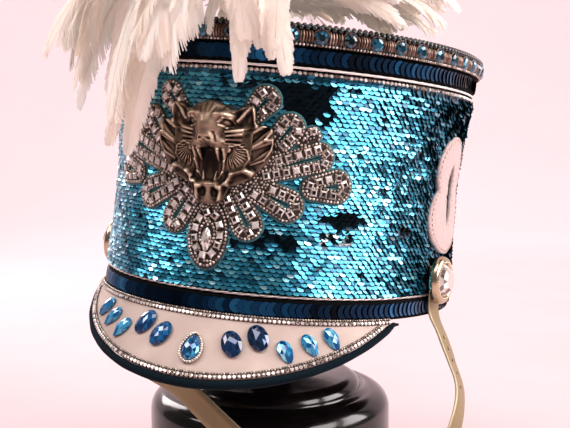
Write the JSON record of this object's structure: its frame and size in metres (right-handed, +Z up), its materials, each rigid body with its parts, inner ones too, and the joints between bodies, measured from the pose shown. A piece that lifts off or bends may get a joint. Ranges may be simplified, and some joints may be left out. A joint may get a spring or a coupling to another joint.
{
  "type": "marching band hat on a stand",
  "caption": "Tall sequined band hat with a stone-set peak, a jewelled front with a cast big cat, a feather plume and a chin strap, leaning on a round drum stand.",
  "frame": {"origin": "centre of the stand's flat base, on the surface that it rests on", "axes": "+Z up along the stand, -Y towards the hat's front, +X towards the wearer's left"},
  "size_m": [0.201, 0.2435, 0.3992],
  "materials": {
    "stand_plastic": "glossy black-brown",
    "buckram": "stiffened black cloth",
    "turquoise_sequins": "shining overlapping sequins",
    "navy_sequins": "shining navy sequins on black",
    "silver_trim": "bright with small stones",
    "white_piping": "twisted white cord",
    "jewelled_braid": "dark teal stones in bronze wire",
    "beige_cloth": "smooth cloth",
    "velvet": "dark teal velvet",
    "blue_glass": "faceted, foiled back",
    "rhinestone_applique": "stones and beads on teal cloth",
    "crystal": "clear, faceted, foiled back",
    "antique_bronze": "cast, dark in the hollows",
    "felt": "pale felt with a stitched edge",
    "gilt_metal": "polished",
    "gold_strap": "metallic gold face",
    "feather": "soft cream feathers"
  },
  "bodies": {
    "root": {"stand": "stand_plastic", "crown_shell": "buckram", "crown_top": "buckram", "sequin_cloth": "turquoise_sequins", "lower_band": "navy_sequins", "upper_band": "navy_sequins", "lower_piping": "silver_trim", "upper_piping": "white_piping", "upper_chain": "silver_trim", "rim_braid": "jewelled_braid", "visor_board": "buckram", "visor_cover": "beige_cloth", "visor_binding": "velvet", "visor_inner_chain": "silver_trim", "visor_outer_chain": "silver_trim", "peak_stone_middle": "blue_glass", "peak_stone_bezel": "silver_trim", "peak_stone_left_1": "blue_glass", "peak_stone_left_2": "blue_glass", "peak_stone_left_3": "blue_glass", "peak_stone_left_4": "blue_glass", "peak_stone_left_5": "blue_glass", "peak_stone_right_1": "blue_glass", "peak_stone_right_2": "blue_glass", "peak_stone_right_3": "blue_glass", "peak_stone_right_4": "blue_glass", "peak_stone_right_5": "blue_glass", "applique": "rhinestone_applique", "applique_drop_stone": "crystal", "cat_head": "antique_bronze", "side_patch_left": "felt", "side_patch_right": "felt", "button_left": "gilt_metal", "button_right": "gilt_metal", "button_crystal_left": "crystal", "button_crystal_right": "crystal", "chin_strap": "gold_strap", "plume": "feather"}
  },
  "joints": []
}
